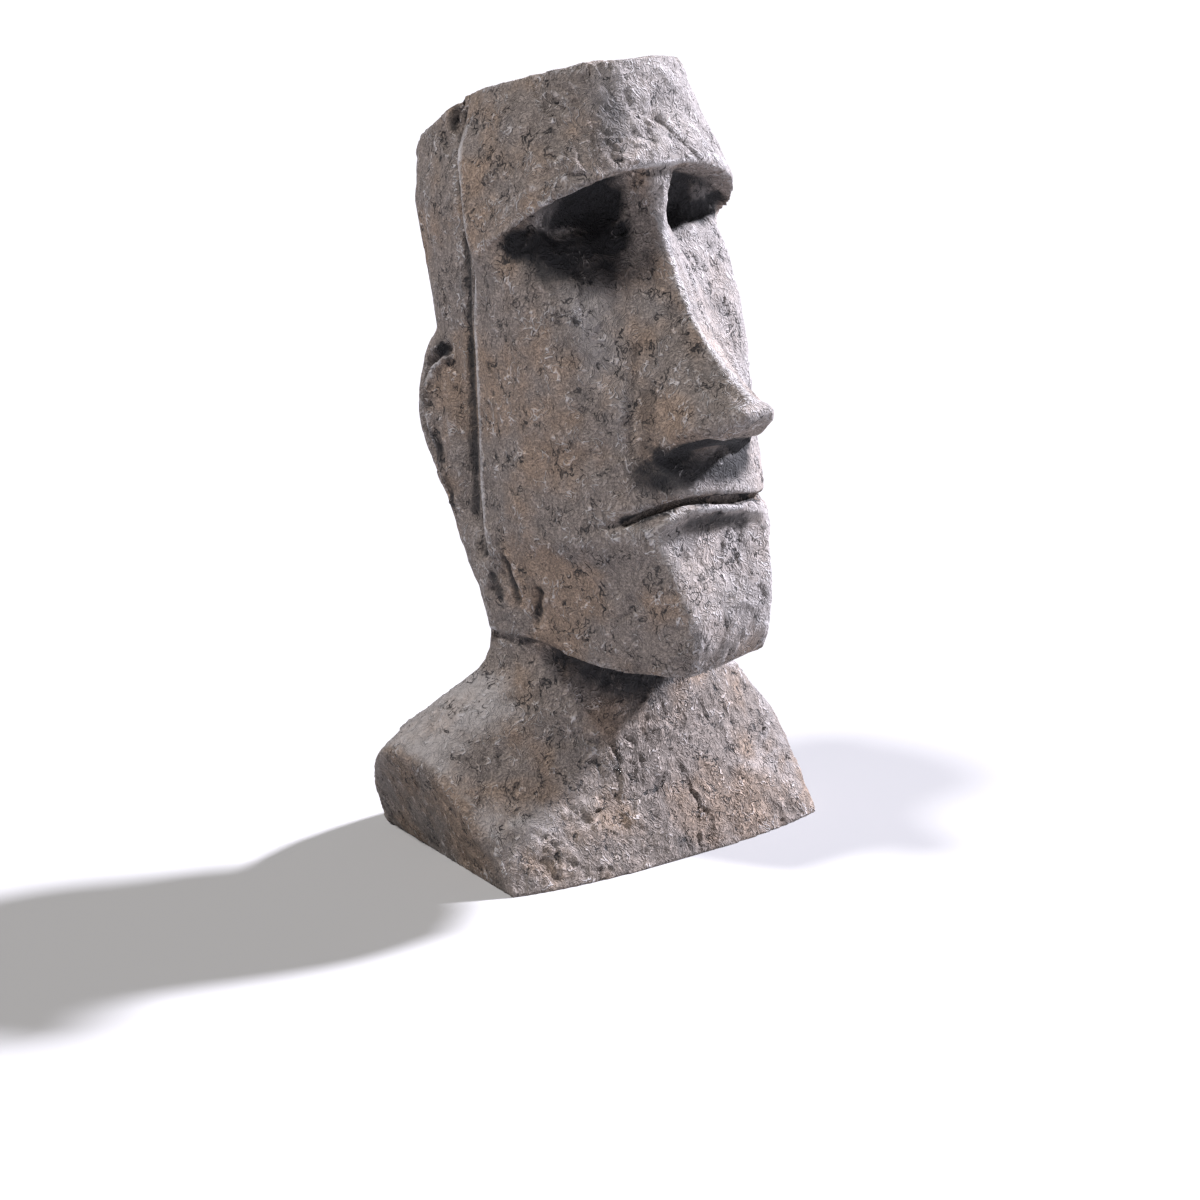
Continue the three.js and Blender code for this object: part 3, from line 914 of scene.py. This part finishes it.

# %% [markdown]
# ## Body colour
# Under the paint the cast is grey-brown, and not evenly: broad patches go from grey to tan,
# smaller smudges are darker, and the whole is finely speckled with sand. Each is a noise of
# its own size, so each can be made stronger or weaker alone. The raised rolls of clay come out
# a little paler, as a painted highlight.

# %% Stone body group
body_colour, inside, outside = group(
    "stone body",
    [
        ("Place", "Vector", None), ("Lines", "Float", 0.3), ("Grey", "Color", None),
        ("Tan", "Color", None), ("Dark", "Color", None),
    ],
    [("Color", "Color")],
)
place = inside.outputs["Place"]
patches = ramp(body_colour, mottle(body_colour, place, 21.0, 3.0, 0.55)[0], 0.44, 0.64)
smudges = ramp(body_colour, mottle(body_colour, place, 8.0, 3.0, 0.6)[0], 0.56, 0.74, 0.0, 0.4)
specks = ramp(body_colour, mottle(body_colour, place, 0.55, 2.0, 0.6)[0], 0.34, 0.64, 0.72, 1.3)
# painted highlight: the raised rolls and wrinkles a little paler
rubbed = plus(body_colour, inside.outputs["Lines"], 0.8, 0.78)
colour = blend(body_colour, patches, inside.outputs["Grey"], inside.outputs["Tan"])
colour = blend(body_colour, smudges, colour, inside.outputs["Dark"])
sandy = node(
    body_colour, "VectorMath", {"operation": "SCALE"}, i0=colour,
    Scale=maths(body_colour, "MULTIPLY", specks, rubbed),
)
body_colour.links.new(sandy.outputs[0], outside.inputs["Color"])
print("stone body has", len(body_colour.nodes), "nodes")

# %% [markdown]
# ## Painted shade and highlight
# Two coats over the body. How deep a place lies, and how far it stands out, are both sums:
# so much for the fine crease, so much for a roll or a crack, so much for the strokes. Painted
# shade, near black, goes on where the first sum is high and a pale painted highlight where the
# second is. A thin mist of the pale paint lies on the planes that look forward, as painted light.
# What was highlighted is also put out, since the pale paint is a little less matt.

# %% Painted shade and highlight group
paint, inside, outside = group(
    "wash and dry brush",
    [
        ("Body", "Color", None), ("Wash", "Color", None), ("Brush", "Color", None),
        ("Height", "Float", 0.5), ("Crease", "Float", 0.0), ("Recess", "Float", 0.0),
        ("Roll", "Float", 0.0), ("Crack", "Float", 0.0), ("Rim", "Float", 0.0),
        ("Patchy", "Float", 0.5), ("Front", "Float", 0.0),
    ],
    [("Color", "Color"), ("Brushed", "Float")],
)
sockets = inside.outputs


def added(total, shares):
    """The total plus a share of each named input."""
    for name, share in shares.items():
        total = plus(paint, sockets[name], share, total)
    return total


# painted shade follows this sum: fine creases, cracks and low places
depth = added(0.035, {"Height": -0.07, "Crease": 0.35, "Roll": -0.15, "Crack": 0.6})
# painted highlight follows this sum: rims, rolls, high places and the lit fronts
stand = added(
    -0.025,
    {
        "Height": 0.05, "Crease": -0.3, "Rim": 0.3, "Roll": 0.52, "Patchy": 0.3, "Front": 0.1,
        "Recess": -0.5,
    },
)
# painted shade, near black, in the marks and the hollows
in_marks = ramp(paint, depth, 0.02, 0.7, 0.0, 0.9)
in_recess = ramp(paint, plus(paint, depth, 0.35, sockets["Recess"]), 0.12, 0.9, 0.0, 0.985)
washed = maths(paint, "MAXIMUM", in_marks, in_recess)
# painted light: a thin pale mist on the planes that look forward
misted = maths(paint, "MULTIPLY", sockets["Front"], 0.45)
# painted highlight: pale paint where the second sum is high
brushed = ramp(paint, stand, 0.36, 1.0, 0.0, 0.85)
colour = blend(paint, misted, sockets["Body"], sockets["Brush"])
colour = blend(paint, washed, colour, sockets["Wash"])
colour = blend(paint, brushed, colour, sockets["Brush"])
paint.links.new(colour, outside.inputs["Color"])
paint.links.new(brushed, outside.inputs["Brushed"])
print("wash and dry brush has", len(paint.nodes), "nodes")

# %% [markdown]
# ## The stone material
# The material joins the groups and keeps the shader itself. Its place comes from the Object
# output of Texture Coordinate, scaled to millimetres, so the pattern sits still on the stone.
# The five attributes that were kept on the mesh are read by name.

# %% The stone material
BUMP = 1.1  # mm for a height of 1
MATT, BRUSHED_MATT = 0.82, 0.58
stone = bpy.data.materials.new("carved_stone")
stone.use_nodes = True
tree = stone.node_tree
shader = tree.nodes["Principled BSDF"]
own = node(tree, "TexCoord").outputs["Object"]
place = node(tree, "VectorMath", {"operation": "SCALE"}, i0=own, Scale=1.0 / MM).outputs[0]
kept = {
    name: node(tree, "Attribute", {"attribute_name": name}).outputs["Fac"]
    for name in ("rough", "crease", "recess", "front", "rim")
}
worked = use(tree, clay_skin, Place=place, Size=1.0, Rough=kept["rough"])
body = use(
    tree, body_colour, Place=place, Lines=worked["Roll"], Grey=(0.218, 0.184, 0.168, 1),
    Tan=(0.262, 0.193, 0.15, 1), Dark=(0.09, 0.085, 0.088, 1),
)
# near black for painted shade, pale grey for painted highlight and painted light
painted = use(
    tree, paint, Body=body["Color"], Wash=(0.009, 0.009, 0.012, 1),
    Brush=(0.48, 0.46, 0.475, 1), Height=worked["Height"], Roll=worked["Roll"],
    Crack=worked["Crack"], Crease=kept["crease"], Recess=kept["recess"], Front=kept["front"],
    Rim=kept["rim"], Patchy=mottle(tree, place, 12.0, 2.0, 0.6)[0],
)
matt = ramp(tree, painted["Brushed"], 0.0, 1.0, MATT, BRUSHED_MATT)
bump = node(tree, "Bump", Strength=1.0, Distance=BUMP * MM, Height=worked["Height"])
tree.links.new(painted["Color"], shader.inputs["Base Color"])
tree.links.new(matt, shader.inputs["Roughness"])
tree.links.new(bump.outputs["Normal"], shader.inputs["Normal"])
head.data.materials.append(stone)
deselect()
head.select_set(True)
bpy.context.view_layer.objects.active = head
bpy.ops.object.shade_smooth()
print("the stone has", len(tree.nodes), "nodes and", len(bpy.data.node_groups), "groups")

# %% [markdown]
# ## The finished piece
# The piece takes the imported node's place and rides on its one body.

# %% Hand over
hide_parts("moai_bust")
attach(head, "root")
